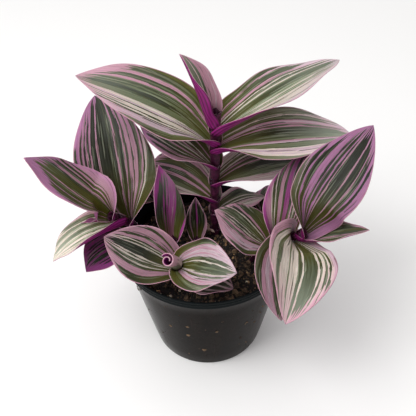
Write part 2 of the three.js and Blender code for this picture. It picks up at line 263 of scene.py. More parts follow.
def from_shape(name, shape):
    """An object with the mesh that a bmesh holds. The bmesh is let go."""
    mesh = bpy.data.meshes.new(name)
    shape.to_mesh(mesh)
    shape.free()
    return in_scene(name, mesh)


def finish_piece(piece, slot, *nodes):
    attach(piece, "root")
    if nodes:
        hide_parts(*nodes)
    print(piece.name, "faces:", len(piece.data.polygons))


# %% [markdown]
# ## The pot
# A thin blow-moulded nursery pot: an even flare, a rolled rim band with two fine raised lines,
# and a flat floor with drain holes. It is a turned shape, so its wall is drawn once as a
# profile and swept round. The drain holes are cut with a Boolean, which leaves clean edges.

# %% Pot sizes
RIM_R, RIM_BAND, RIM_LIP = 54.0, 5.0, 2.2
POT_H, FOOT_R, FOOT_ROUND, POT_WALL, POT_FLOOR = 82.0, 37.0, 1.2, 1.6, 2.4
DRAIN_HOLES, DRAIN_R, DRAIN_RING, DRAIN_SIDES = 6, 4.0, 26.0, 32
POT_SIDES, SHARP_EDGE = 160, radians(40)
BODY_TOP, BODY_TOP_R = POT_H - RIM_BAND, RIM_R - RIM_LIP


def body_radius(z):
    return FOOT_R + (BODY_TOP_R - FOOT_R) * z / BODY_TOP


# %% Pot shell
# The rim line goes up round the band, by how far in from the rim and how far under the top.
RIM_LINE = [
    (0.5, RIM_BAND), (0.1, 4.85), (0, 4.5), (0.25, 3.7), (0.35, 2.8), (0.05, 2.2), (0.35, 1.6),
    (0.2, 1), (0.1, 0.5), (0.3, 0.12), (0.7, 0), (1.2, 0.1), (POT_WALL, 0.5),
]
POT_PROFILE = [
    (0, 0), (DRAIN_RING - 8, 0), (FOOT_R - FOOT_ROUND, 0), (FOOT_R - 0.35, 0.35), (FOOT_R, FOOT_ROUND),
    *((body_radius(z), z) for z in (12, 30, 50, 66)),
    (BODY_TOP_R - 0.15, BODY_TOP - 0.5), (BODY_TOP_R + 0.2, BODY_TOP),
    *((RIM_R - back, POT_H - down) for back, down in RIM_LINE),
    (BODY_TOP_R - POT_WALL, BODY_TOP - POT_WALL), (body_radius(40) - POT_WALL, 40),
    (body_radius(POT_FLOOR) - POT_WALL, POT_FLOOR + 0.6),
    (body_radius(POT_FLOOR) - POT_WALL - 0.6, POT_FLOOR), (0, POT_FLOOR),
]


def turned(name, profile, sides, materials):
    """A profile of (radius, height) in mm, swept round the Z axis and closed at its two poles."""
    rings = [p for p in profile if p[0] > 0]
    points = [(r * c * MM, r * s * MM, height * MM) for r, height in rings for c, s in circle(sides)]
    faces = tube_faces(len(rings), sides)
    for ring, (_, height) in ((0, profile[0]), (len(rings) - 1, profile[-1])):
        points.append((0, 0, height * MM))
        first, pole = ring * sides, len(points) - 1
        faces += [(pole, first + side, first + (side + 1) % sides) for side in range(sides)]
    return new_piece(name, points, faces, materials)


def drain_drills():
    drills = bmesh.new()
    for i in range(DRAIN_HOLES):
        angle = (i + 0.5) * 2 * pi / DRAIN_HOLES
        at = Vector((DRAIN_RING * cos(angle), DRAIN_RING * sin(angle), 0)) * MM
        bmesh.ops.create_cone(
            drills, cap_ends=True, segments=DRAIN_SIDES, radius1=DRAIN_R * MM,
            radius2=DRAIN_R * MM, depth=4 * POT_FLOOR * MM, matrix=Matrix.Translation(at))
    return from_shape("drills", drills)


def apply_modifiers(piece):
    """Makes the piece a plain mesh as its modifiers show it, and takes them off."""
    graph = bpy.context.evaluated_depsgraph_get()
    mesh = bpy.data.meshes.new_from_object(piece.evaluated_get(graph))
    piece.modifiers.clear()
    old = piece.data
    piece.data = mesh
    bpy.data.meshes.remove(old)


# %% [markdown]
# The plastic is black with a warm cast, cooler on the rim band, and hardly mirrors the room.
# Fine specks of dust and faint upright streaks of dried water change its sheen from place to
# place, so its colour, roughness and bump come from noise.

# %% Pot plastic
def pot_plastic():
    m = Recipe("black_nursery_plastic")
    streaks = m.noise(m.place((90, 90, 14)), 1.0, 3)
    height = m.add("SeparateXYZ", Vector=m.place()).outputs["Z"]
    band = m.ranged(height, (BODY_TOP - 1) * MM, BODY_TOP * MM)
    base = m.blend(m.ranged(streaks, 0.35, 0.75), "0E0A08", "1A130F")
    base = m.blend(band, base, "15191A")
    dust = m.ranged(m.noise(m.place(), 700, 2), 0.68, 0.78, 0.0, 0.5)
    m.bump(m.noise(m.place(), 260, 3), 0.00012, 0.5)
    return m.finish(Base_Color=m.blend(dust, base, "4A4038"), Specular_IOR_Level=0.035,
                    Roughness=m.ranged(streaks, 0.3, 0.8, 0.12, 0.34))


pot_shell = turned("pot_shell", POT_PROFILE, POT_SIDES, [pot_plastic()])
cut = pot_shell.modifiers.new("drain", "BOOLEAN")
cut.operation = "DIFFERENCE"
cut.solver = "EXACT"
cut.object = drills = drain_drills()
apply_modifiers(pot_shell)
bpy.data.objects.remove(drills)
pot_shell.data.set_sharp_from_angle(angle=SHARP_EDGE)
finish_piece(pot_shell, "pot", "pot")

# %% [markdown]
# ## The soil
# Dark moist potting mix: clods a few millimetres across, with bits of pale bark and perlite.
# The bed is a disc of rings whose heights are low mounds with noise on them. The loose crumbs
# are scattered on it by Geometry Nodes, because there are hundreds and each is only a few
# faces: a tree distributes points on the bed, puts a lumpy grain on each, turns and scales it.

# %% Soil bed
SOIL_TOP, SOIL_RELIEF, FIT_GAP = 71.0, 1.1, 0.3
MOUNDS_PER_MM, CRUMBS_PER_MM, MOUND_SHARE = (0.23, 0.19), (0.61, 0.47), 0.6
BED_RINGS, BED_SIDES, BED_MIDDLE, BED_CENTRE_R, CLOD, CLOD_GAIN = 60, 144, 0.02, 0.5, 0.55, 2.2
SOIL_BOTTOM = POT_FLOOR + FIT_GAP
SOIL_TOP_R, SOIL_BOTTOM_R = (body_radius(z) - POT_WALL - FIT_GAP for z in (SOIL_TOP, SOIL_BOTTOM))
chance = np.random.default_rng(8)
full_turn = (0, 2 * pi)
WAVES = [[chance.uniform(*span) for span in ((0.8, 2.6), full_turn, full_turn)] for _ in range(14)]


def soil_height(x, y):
    calm = 1 - (hypot(x, y) / SOIL_TOP_R) ** 6
    mounds = sin(MOUNDS_PER_MM[0] * x + 1) * cos(MOUNDS_PER_MM[1] * y)
    crumbs = sin(CRUMBS_PER_MM[0] * (x - y)) * cos(CRUMBS_PER_MM[1] * (x + y))
    low = SOIL_TOP + SOIL_RELIEF * calm * (MOUND_SHARE * mounds + (1 - MOUND_SHARE) * crumbs)
    clods = sum(sin(f * (x * cos(a) + y * sin(a)) + p) for f, a, p in WAVES) / len(WAVES)
    return low + CLOD * CLOD_GAIN * clods


def make_soil_bed(material):
    points = []
    for ring in range(BED_RINGS + 1):
        radius = SOIL_TOP_R * max(ring, BED_MIDDLE) / BED_RINGS
        round_about = [(radius * c, radius * s) for c, s in circle(BED_SIDES)]
        points += [Vector((x, y, soil_height(x, y))) * MM for x, y in round_about]
    for radius in (SOIL_BOTTOM_R, BED_CENTRE_R):
        points += [Vector((radius * c, radius * s, SOIL_BOTTOM)) * MM for c, s in circle(BED_SIDES)]
    rows = BED_RINGS + 3
    faces = tube_faces(rows, BED_SIDES)
    faces.append(tuple(range(BED_SIDES)))
    faces.append(tuple(reversed(range((rows - 1) * BED_SIDES, rows * BED_SIDES))))
    return new_piece("soil_bed", points, faces, [material])


# %% Soil colours
GRAIN_DEPTH = 0.0006


def crumb_material(name, dark, light, grain=900.0, rough=0.95):
    """Two colours in patches, with finer light flecks. The grain is how fine it all is."""
    m = Recipe(name)
    patches = m.noise(m.place(), grain / 4, 4, 0.65)
    fine = m.noise(m.place(), grain, 4, 0.7)
    base = m.blend(m.ranged(patches, 0.4, 0.62), dark, light)
    base = m.blend(m.ranged(fine, 0.55, 0.75, 0.0, 0.5), base, light)
    m.bump(fine, GRAIN_DEPTH)
    return m.finish(Base_Color=base, Roughness=rough)


soil_bed = make_soil_bed(crumb_material("moist_soil", "0A0705", "1C140E"))
finish_piece(soil_bed, "soil", "soil")

# %% A grain
def lumpy_grain(name, seed, subdivisions=1, squash=(1, 1, 1), rough=0.3):
    """A small stone-like grain about one unit across, for the scatter to repeat."""
    luck = np.random.default_rng(seed)
    shape = bmesh.new()
    bmesh.ops.create_icosphere(shape, subdivisions=subdivisions, radius=0.5)
    for v in shape.verts:
        v.co *= 1 + rough * luck.uniform(-1, 1)
        v.co = Vector(a * b for a, b in zip(v.co, squash))
    return from_shape(name, shape)


# %% Scatter with Geometry Nodes
LOWEST_GRAIN = (SOIL_TOP - 3) * MM
SCATTER_INPUTS = {
    "Bed": "Geometry", "Grain": "Object", "Density": "Float", "Smallest": "Float", "Largest": "Float",
    "Spacing": "Float", "Seed": "Int", "Tilt": "Float", "Finish": "Material",
}


def scatter_tree(name):
    """A tree that scatters one grain over the upper faces of a bed."""
    tree = bpy.data.node_groups.new(name, "GeometryNodeTree")
    for label, kind in SCATTER_INPUTS.items():
        tree.interface.new_socket(label, in_out="INPUT", socket_type="NodeSocket" + kind)
    tree.interface.new_socket("Grains", in_out="OUTPUT", socket_type="NodeSocketGeometry")

    def step(kind, links, **settings):
        """One node of the tree, with the inputs that are linked or set. It gives its outputs."""
        node = tree.nodes.new(kind)
        for option, value in settings.items():
            setattr(node, option, value)
        for socket, value in links.items():
            wire(tree, node.inputs[socket], value)
        return node.outputs

    given = step("NodeGroupInput", {})
    seed, tilt = given["Seed"], given["Tilt"]
    height = step("ShaderNodeSeparateXYZ", {0: step("GeometryNodeInputPosition", {})[0]})["Z"]
    above = step("FunctionNodeCompare", {0: height, 1: LOWEST_GRAIN}, operation="GREATER_THAN")[0]
    spots = step("GeometryNodeDistributePointsOnFaces", {
        "Mesh": given["Bed"], "Selection": above, "Distance Min": given["Spacing"],
        "Density Max": given["Density"], "Seed": seed}, distribute_method="POISSON")
    other_way = step("ShaderNodeMath", {0: tilt, 1: -1}, operation="MULTIPLY")[0]
    lean = step("FunctionNodeRandomValue", {
        0: other_way, 1: tilt, "Seed": seed}, data_type="FLOAT_VECTOR")[0]
    turn = step("FunctionNodeRotateRotation", {0: spots["Rotation"], 1: lean})[0]
    size = step("FunctionNodeRandomValue", {2: given["Smallest"], 3: given["Largest"], "Seed": seed})[1]
    grain = step("GeometryNodeObjectInfo", {"Object": given["Grain"]})["Geometry"]
    placed = step("GeometryNodeInstanceOnPoints", {
        "Points": spots["Points"], "Instance": grain, "Rotation": turn, "Scale": size})[0]
    real = step("GeometryNodeRealizeInstances", {0: placed})[0]
    painted = step("GeometryNodeSetMaterial", {"Geometry": real, "Material": given["Finish"]})[0]
    step("NodeGroupOutput", {0: painted})
    return tree


# %% Run a scatter
def scatter(name, tree, bed, **values):
    """Runs the scatter tree on a copy of the bed and keeps what it makes as a plain mesh."""
    piece = in_scene(name, bed.data.copy())
    modifier = piece.modifiers.new("scatter", "NODES")
    modifier.node_group = tree
    for item in tree.interface.items_tree:
        if item.in_out == "INPUT" and item.name in values:
            modifier[item.identifier] = values[item.name]
    apply_modifiers(piece)
    return piece


# %% [markdown]
# Four scatters make the mix: dark clods, finer dark crumbs, tan bits of bark, and a few pale
# grains of perlite. A row says how each is spread: its grain, how many a square metre, its
# smallest and its largest size and its spacing in mm, its seed and its finish.

# %% Crumbs, bark and perlite
grain_tree = scatter_tree("scatter_grains")
clod_finish = crumb_material("soil_crumbs", "1A120D", "6E5842")
bark_finish = crumb_material("bark_bits", "7A583A", "C4A074", 1400, 0.9)
perlite_finish = crumb_material("perlite", "B9A98E", "E2D8C4", 1800, 0.85)
MIX = [
    ("soil_clods", lumpy_grain("clod", 3, 2), 50000, 1.8, 4.4, 2.3, 5, clod_finish),
    ("soil_crumbs", lumpy_grain("crumb", 4, 1), 250000, 0.6, 1.5, 0.75, 6, clod_finish),
    ("bark_bits", lumpy_grain("bark", 5, 1, (1, 0.5, 0.4), 0.2), 20000, 1.8, 4.6, 3.6, 7, bark_finish),
    ("perlite_bits", lumpy_grain("perlite_grain", 6, 2, (1, 0.8, 0.8), 0.22), 9000, 1.0, 2.8, 5.0, 9,
     perlite_finish),
]
for name, grain, density, smallest, largest, spacing, seed, finish in MIX:
    piece = scatter(name, grain_tree, soil_bed, Grain=grain, Density=float(density),
                    Smallest=smallest * MM, Largest=largest * MM, Spacing=spacing * MM,
                    Seed=seed, Tilt=pi, Finish=finish)
    bpy.data.objects.remove(grain)
    finish_piece(piece, "soil")

# %% [markdown]
# ## Where the shoots run
# Every stem follows a bowed line with three points: its foot in the soil, its bow and its tip.
# The line and its direction at any share of its length are all that a stem or a leaf needs. A
# row gives the stem's radius and the three points, in mm.

# %% Shoots
LENGTH_DOTS = 200
SHOOTS = {
    "main": (2.3, (6, 15, 58), (6, 15, 112), (7.5, 15, 168)),
    "left": (1.8, (-28, 6, 58), (-44, 8, 92), (-58, -4, 106)),
    "right": (1.8, (24, -8, 58), (33, -12, 92), (58, -26, 108)),
    "front": (1.6, (-12, -24, 58), (-14, -30, 84), (-18, -38, 100)),
    "middle": (1.5, (-20, 2, 58), (-20, 1, 72), (-21, -1, 86)),
    "small": (1.2, (-6, 4, 58), (-6, 4, 68), (-6, 4, 80)),
    "rear_left": (1.6, (-26, 30, 58), (-28, 34, 76), (-32, 40, 91)),
    "rear_right": (1.6, (36, 14, 58), (38, 18, 78), (44, 24, 92)),
}


class Line:
    """A line from a foot to a tip that bends towards a bow, in mm, read by share from 0 to 1."""

    def __init__(self, foot, bow, tip):
        self.points = [Vector(p) for p in (foot, bow, tip)]
        dots = [self.raw(i / LENGTH_DOTS) for i in range(LENGTH_DOTS + 1)]
        self.length = sum((b - a).length for a, b in zip(dots, dots[1:]))

    def raw(self, t):
        a, b, c = self.points
        return a * (1 - t) ** 2 + b * 2 * t * (1 - t) + c * t * t

    def tangent(self, t):
        a, b, c = self.points
        return ((b - a) * (1 - t) + (c - b) * t).normalized()


shoots = {name: (Line(*points), radius) for name, (radius, *points) in SHOOTS.items()}
print("stem lengths in mm:", {name: round(line.length) for name, (line, _) in shoots.items()})

# %% [markdown]
# ## Stems
# A tradescantia stem is round, juicy and jointed: it swells a little at every node, where a
# leaf's sheath ends. A tube of rings along the bowed line does this, with its radius eased up
# near each leaf. It grows thin near the tip, inside the youngest leaf, and a small dome closes
# it, because the growing point is soft.

# %% Leaf rows
# One row for each leaf: name, shoot, place along the stem, heading, rise, length, width, arch,
# sweep, roll, fold, cup. The place is a share of the stem, the length and the width are in mm
# and the rest in degrees, with a heading of 0 along +X and of 90 along +Y.
LEAVES = [
    ("main_1", "main", 0.30, 23, 20, 36, 25, 50, 10, -8, 4, 20),
    ("main_2", "main", 0.40, 146, 24, 60, 35, 50, -2, -4, 6, 22),
    ("main_3", "main", 0.52, 24, 16, 64, 34, 42, 0, 12, 5, 22),
    ("main_4", "main", 0.64, 143, 33, 59, 36, 52, -4, -18, 7, 22),
    ("main_5", "main", 0.745, 6, 14, 86, 36, 36, 18, 28, 5, 22),
    ("main_6", "main", 0.79, 168, 46, 88, 42, 44, -6, -22, 2, 22),
    ("main_7", "main", 0.86, 20, 32, 86, 40, 32, 15, -5, 1, 22),
    ("main_8", "main", 0.90, 170, 84, 47, 26, 22, 6, -20, 14, 25),
    ("main_9", "main", 0.98, 165, 85, 11, 7, 10, 0, 0, 30, 50),
    ("left_1", "left", 0.58, 218, -5, 38, 32, 36, 0, -10, 2, 20),
    ("left_2", "left", 0.65, 118, 63, 84, 50, 42, -12, -8, 6, 14),
    ("left_3", "left", 0.76, 207, 8, 47, 30, 42, 0, 0, 7, 37),
    ("left_4", "left", 0.97, 201, 49, 64, 35, 2, -13, -14, -7, 19),
    ("left_5", "left", 0.86, 190, 6, 20, 5, 5, 0, 0, 30, 50),
    ("right_1", "right", 0.54, 174, 42, 38, 35, 10, -7, -12, -8, 22),
    ("right_2", "right", 0.70, 268, 5, 48, 32, 66, 0, 0, 6, 22),
    ("right_3", "right", 0.62, 51, 56, 62, 29, 24, 0, 12, 8, 22),
    ("right_4", "right", 0.86, 275, 22, 62, 45, 50, -28, -22, 13, 25),
    ("right_5", "right", 0.98, 37, 54, 72, 41, 27, 8, 12, -2, 22),
    ("right_6", "right", 0.92, -19, 25, 40, 21, 0, 8, 6, 22, 25),
    ("front_1", "front", 0.58, -25, 12, 30, 26, 28, 4, 8, 3, 20),
    ("front_2", "front", 0.76, 175, 28, 45, 36, 18, -22, -38, 7, 25),
    ("front_3", "front", 0.86, -37, 32, 37, 34, 28, 17, 25, 4, 25),
    ("middle_1", "middle", 0.80, 124, 80, 52, 21, 4, 0, -6, 8, 22),
    ("small_1", "small", 0.85, 90, 86, 30, 15, 6, 0, 0, 10, 25),
    ("rear_left_1", "rear_left", 0.72, 175, 38, 37, 24, 35, 0, 0, 5, 22),
    ("rear_left_2", "rear_left", 0.82, 70, 35, 48, 28, 45, 0, 0, 5, 22),
    ("rear_left_3", "rear_left", 0.96, 130, 30, 28, 18, 15, 0, 0, 10, 30),
    ("rear_right_1", "rear_right", 0.66, 78, 37, 24, 19, 40, 0, 0, 4, 22),
    ("rear_right_2", "rear_right", 0.82, -7, 15, 42, 28, 30, 0, -3, 5, 22),
    ("rear_right_3", "rear_right", 0.96, 40, 50, 30, 18, 25, 0, 0, 10, 30),
    ("withered", "main", 0.17, 200, 30, 17, 9, 10, 0, 30, 30, 60),
]
Leaf = namedtuple("Leaf", "name on at turn rise length width arch sweep roll fold cup")
leaves = [Leaf(*row) for row in LEAVES]
# Leaves that open later along their length than the rest, and one that rises sooner.
FADES = {"main_7": 0.13, "main_8": 0.7, "left_3": 0.3, "left_4": 0.2, "right_6": 0.14}
FLARES = {"main_8": 2.0}
print("leaves:", len(leaves))

# %% Stem skin
def stem_skin():
    m = Recipe("purple_stem")
    streaks = m.noise(m.place((900, 900, 60)), 1.0, 3)
    specks = m.noise(m.place(), 1500, 2)
    base = m.blend(m.ranged(streaks, 0.35, 0.7), "260A1C", "481A34")
    base = m.blend(m.ranged(specks, 0.66, 0.75, 0.0, 0.5), base, "8A5878")
    m.bump(streaks, 0.0002, 0.6)
    return m.fleshy(base, 0.42, glow=0.08, reach=0.002)


# %% Stem tubes
STEM_SIDES, STEM_RINGS, NODE_SWELL, NODE_REACH = 24, 70, 0.14, 1.6
TAPER_FROM, TIP_TAPER, TAPER_EASE, DOME_RINGS, DOME_HEIGHT = 0.88, 0.72, 1.5, 4, 0.6


def ring_axes(along):
    side = along.cross(Vector((0, 0, 1)))
    side = side.normalized() if side.length > 0.02 else Vector((1, 0, 0))
    return side, side.cross(along).normalized()


def ring_points(centre, along, radius, sides):
    """A ring of points round a centre, square to a direction."""
    side, up = ring_axes(along)
    return [centre + (side * c + up * s) * radius for c, s in circle(sides)]


def make_stem(name, material):
    line, radius = shoots[name]
    nodes = [leaf.at for leaf in leaves if leaf.on == name]
    rings = []
    for i in range(STEM_RINGS + 1):
        t = i / STEM_RINGS
        swell = sum(exp(-(((t - at) * line.length / NODE_REACH) ** 2)) for at in nodes)
        slim = 1 - TIP_TAPER * max((t - TAPER_FROM) / (1 - TAPER_FROM), 0) ** TAPER_EASE
        wide = radius * (1 + NODE_SWELL * min(swell, 1) - NODE_SWELL) * slim
        rings.append((line.raw(t), line.tangent(t), wide))
    tip, along = line.raw(1), line.tangent(1)
    for i in range(1, DOME_RINGS + 1):
        angle = pi / 2 * i / (DOME_RINGS + 0.5)
        height = wide * DOME_HEIGHT * sin(angle)
        rings.append((tip + along * height, along, wide * cos(angle)))
    points = [p * MM for ring in rings for p in ring_points(*ring, STEM_SIDES)]
    faces = tube_faces(len(rings), STEM_SIDES)
    faces += [tuple(range(STEM_SIDES)), tuple(range(len(points) - STEM_SIDES, len(points)))]
    finish_piece(new_piece("shoot_" + name, points, faces, [material]), "stem", "stem_" + name)


skin = stem_skin()
for name in shoots:
    make_stem(name, skin)

# %% [markdown]
# ## How a leaf is shaped
# The midrib sets out at the leaf's rise and heading, arches over and swings sideways. Square to
# it runs a bent cross-section: folded at the midrib, cupped towards the margins, and curled
# shut at the base, where it clasps the stem. The half-width is a skewed oval, and the margins
# wave slightly. Each rule is a short function, the one that the solids follow, but here the
# base wraps the stem all the way, the midrib is a fine crease and the blade is thinner.
#
# Every point also gets its place on two maps. The first is plain: across the leaf and along
# it. The second says which vein runs there. Veins gather at the base, run straight up the
# blade and end one by one at the margins near the tip, and the stripes follow them.

# %% Blade sizes
LONGEST_SHEATH, SHORTEST_SHEATH, SHEATH_SPACING = 9.0, 2.5, 0.6
TIP_HALF, MARGIN_WAVE, WAVES_PER_LEAF, WAVE_RAMP = 0.12, 1.0, 2, 6
WIDEST_SHARE, TIP_SHARPNESS = 0.4, 0.85
CLASP_ROOM, WIDEST_FOOT, FOOT_BELOW_RIM = 1.35, 0.92, 0.8
CLASP_CUP, CLASP_FADE, RING_LENGTH = 168.0, 0.1, 6.0
FLARE_ANGLE, FLARE_LENGTH, UPRIGHT_COSINE, ROLL_SHARE = 40.0, 4.0, 0.97, 0.25
BLADE_STEP, FEWEST_STEPS, SPANS, MIDRIB_SAMPLES = 1.6, 22, 24, 160
THICK, MARGIN_THICK, CREASE, CREASE_WIDTH, FULL_CREASE_HALF = 0.62, 0.34, 0.25, 0.06, 6
BASE_GATHER, GATHER_REACH, TIP_SPREAD, LEAST_SHARE, VEIN_MIDDLE = 0.35, 0.7, 0.45, 0.1, 0.45


# %% Midrib
def heading_at(leaf, t):
    return radians(leaf.turn + leaf.sweep * t)


def free_direction(leaf, t):
    """The way the midrib would run at a share t of its length, with no stem near."""
    climb, heading = radians(leaf.rise - leaf.arch * t), heading_at(leaf, t)
    level = cos(climb)
    return Vector((level * cos(heading), level * sin(heading), sin(climb)))


def outward(leaf, stem_up):
    """The way from the stem to the leaf, square to the stem."""
    out = free_direction(leaf, 0)
    if out.dot(stem_up) > UPRIGHT_COSINE:
        heading = heading_at(leaf, 0)
        out = Vector((cos(heading), sin(heading), 0))
    return (out - stem_up * out.dot(stem_up)).normalized()


def midrib_frame(leaf, stem_up, t):
    """The way the midrib runs at a share t, its left side and the way its face looks."""
    along = free_direction(leaf, t)
    flare = radians(FLARE_ANGLE)
    if free_direction(leaf, 0).dot(stem_up) > sin(flare):
        flared = outward(leaf, stem_up) * cos(flare) + stem_up * sin(flare)
        reach = FLARES.get(leaf.name, FLARE_LENGTH)
        along = along.lerp(flared, exp(-t * leaf.length / reach)).normalized()
    heading = heading_at(leaf, t)
    side = Vector((-sin(heading), cos(heading), 0))
    face = along.cross(side).normalized()
    return along, face.cross(along), face


def midrib_points(leaf, stem_up, start, steps):
    points, place = [start.copy()], start.copy()
    per_step = ceil(MIDRIB_SAMPLES / steps)
    for i in range(steps):
        for j in range(per_step):
            t = (i + (j + 0.5) / per_step) / steps
            place = place + midrib_frame(leaf, stem_up, t)[0] * (leaf.length / steps / per_step)
        points.append(place.copy())
    return points


# %% Widths and veins
def oval_share(t):
    skew = log(0.5) / log(WIDEST_SHARE)
    return max(sin(pi * t**skew), 0) ** TIP_SHARPNESS


def width_share(t, base):
    foot = base * (1 - t) ** 3
    return foot + (1 - foot) * oval_share(t)


def vein_place(u, t, lean):
    """The vein at a place: 0 to 1, from the right margin to the left where the leaf is widest."""
    spread = 1 - BASE_GATHER * max(1 - t / GATHER_REACH, 0) ** 2
    if t > WIDEST_SHARE:
        spread /= max(oval_share(t), LEAST_SHARE) ** TIP_SPREAD
    return 0.5 + (u - 0.5) / spread + lean * (t - VEIN_MIDDLE)


# %% Blade points
def make_blade(leaf, stem_up, start, clasp_radius, lean):
    """Points of the upper and the lower face, row by row, and where they are on each map."""
    steps = max(FEWEST_STEPS, round(leaf.length / BLADE_STEP))
    fade = FADES.get(leaf.name, CLASP_FADE)
    base = min(clasp_radius * radians(CLASP_CUP) / (leaf.width / 2), WIDEST_FOOT)
    clasp_cup = degrees(base * leaf.width / 2 / clasp_radius)
    inward = -outward(leaf, stem_up)
    ring_side = inward.cross(stem_up)
    midrib = midrib_points(leaf, stem_up, start, steps)
    _, side, face = midrib_frame(leaf, stem_up, 0)
    foot_roll = atan2(-stem_up.dot(side), stem_up.dot(face))
    upper, lower, uv, veins = [], [], [], []
    for i in range(steps + 1):
        t = i / steps
        along, side, face = midrib_frame(leaf, stem_up, t)
        roll = foot_roll + (radians(leaf.roll) - foot_roll) * min(t / ROLL_SHARE, 1)
        spin = Matrix.Rotation(roll, 3, along)
        ring = exp(-t * leaf.length / RING_LENGTH)
        side = (spin @ side).lerp(ring_side, ring).normalized()
        face = (spin @ face).lerp(inward, ring).normalized()
        bend_axis = side.cross(face)
        half = max(leaf.width / 2 * width_share(t, base), TIP_HALF)
        closed = exp(-t / fade)
        fold = radians(leaf.fold * (1 - closed))
        cup = radians(leaf.cup * (1 - closed) + clasp_cup * closed)
        for j in range(SPANS + 1):
            u = 2 * j / SPANS - 1
            hand = (u > 0) - (u < 0)
            slope = fold + cup * abs(u)
            out = half * hand * (sin(slope) - sin(fold)) / cup
            ripple = sin(2 * pi * (WAVES_PER_LEAF * t + 0.25 * hand))
            wave = MARGIN_WAVE * abs(u) ** 3 * ripple * min(WAVE_RAMP * t * (1 - t), 1)
            crease = CREASE * exp(-abs(u) / CREASE_WIDTH) * min(half / FULL_CREASE_HALF, 1)
            lift = half * (cos(fold) - cos(slope)) / cup + wave - crease
            middle = midrib[i] + side * out + face * lift
            thick = THICK + (MARGIN_THICK - THICK) * u * u
            normal = Matrix.Rotation(hand * slope, 3, bend_axis) @ face
            upper.append(middle + normal * thick / 2)
            lower.append(middle - normal * thick / 2)
            uv.append((j / SPANS, t))
            veins.append((vein_place(j / SPANS, t, lean), t))
    return steps, upper, lower, {"UVMap": uv, "veins": veins}


# %% [markdown]
# ## From sheet to leaf
# The upper and lower faces are joined round the margin, and the sheath is added: a thin tube
# that follows the stem below the blade and flares a little at its rim. Each leaf piece has four
# finishes: its own striped face, the magenta underside, the pale hairline margin, the sheath.

# %% Sheath
SHEATH_SIDES, SHEATH_RINGS, SHEATH_FOOT, SHEATH_WIDENING, SHEATH_WALL = 28, 12, 0.55, 0.35, 0.45
RIM_FLARE, RIM_EASE = 0.25, 9


def sheath_room(leaf):
    line, _ = shoots[leaf.on]
    below = [other.at for other in leaves if other.on == leaf.on and other.at < leaf.at]
    to_leaf = (leaf.at - max([0, *below])) * line.length - SHEATH_SPACING
    to_soil = line.raw(leaf.at).z - SOIL_TOP - SOIL_RELIEF - FIT_GAP
    return min(max(min(to_leaf, to_soil), SHORTEST_SHEATH), LONGEST_SHEATH)


def make_sheath(leaf, room):
    """Points and faces of a tube with an outer and an inner wall, closed at both rims."""
    line, radius = shoots[leaf.on]
    low, high = leaf.at - room / line.length, leaf.at
    walls = []
    for i in range(SHEATH_RINGS + 1):
        share = i / SHEATH_RINGS
        rim = exp(-(1 - share) * RIM_EASE)
        walls.append((share, radius + SHEATH_FOOT + SHEATH_WIDENING * share + RIM_FLARE * rim))
    walls += [(share, wide - SHEATH_WALL) for share, wide in reversed(walls)]
    points = []
    for share, wide in walls:
        t = low + (high - low) * share
        points += ring_points(line.raw(t), line.tangent(t), wide, SHEATH_SIDES)
    faces = tube_faces(len(walls) + 1, SHEATH_SIDES)
    return points, [tuple(v % len(points) for v in face) for face in faces]


# %% Leaf piece
FACE, UNDER, MARGIN, SHEATH = range(4)


def sheet_faces(steps, spans, count):
    """Faces of a closed sheet, and which finish each takes. Its lower points follow its upper."""
    top = lambda i, j: i * (spans + 1) + j
    under = lambda i, j: count + top(i, j)
    faces, slots = [], []
    for i in range(steps):
        for j in range(spans):
            faces.append((top(i, j), top(i + 1, j), top(i + 1, j + 1), top(i, j + 1)))
            faces.append((under(i, j), under(i, j + 1), under(i + 1, j + 1), under(i + 1, j)))
            slots += [FACE, UNDER]
        faces.append((top(i, 0), under(i, 0), under(i + 1, 0), top(i + 1, 0)))
        faces.append((top(i, spans), top(i + 1, spans), under(i + 1, spans), under(i, spans)))
        slots += [MARGIN, MARGIN]
    for j in range(spans):
        faces.append((top(0, j), top(0, j + 1), under(0, j + 1), under(0, j)))
        faces.append((top(steps, j), under(steps, j), under(steps, j + 1), top(steps, j + 1)))
        slots += [MARGIN, MARGIN]
    return faces, slots


def make_leaf(leaf, lean, finishes):
    line, radius = shoots[leaf.on]
    room = sheath_room(leaf)
    stem_up = line.tangent(leaf.at)
    start = line.raw(leaf.at) - stem_up * FOOT_BELOW_RIM
    start += outward(leaf, stem_up) * (radius + CLASP_ROOM)
    steps, upper, lower, maps = make_blade(leaf, stem_up, start, radius + CLASP_ROOM, lean)
    faces, slots = sheet_faces(steps, SPANS, len(upper))
    tube, walls = make_sheath(leaf, room)
    points = [p * MM for p in (*upper, *lower, *tube)]
    first = len(upper) + len(lower)
    faces += [tuple(first + v for v in wall) for wall in walls]
    slots += [SHEATH] * len(walls)
    maps = {label: places + places + [(0.5, 0.0)] * len(tube) for label, places in maps.items()}
    return new_piece("blade_" + leaf.name, points, faces, finishes, slots, maps)
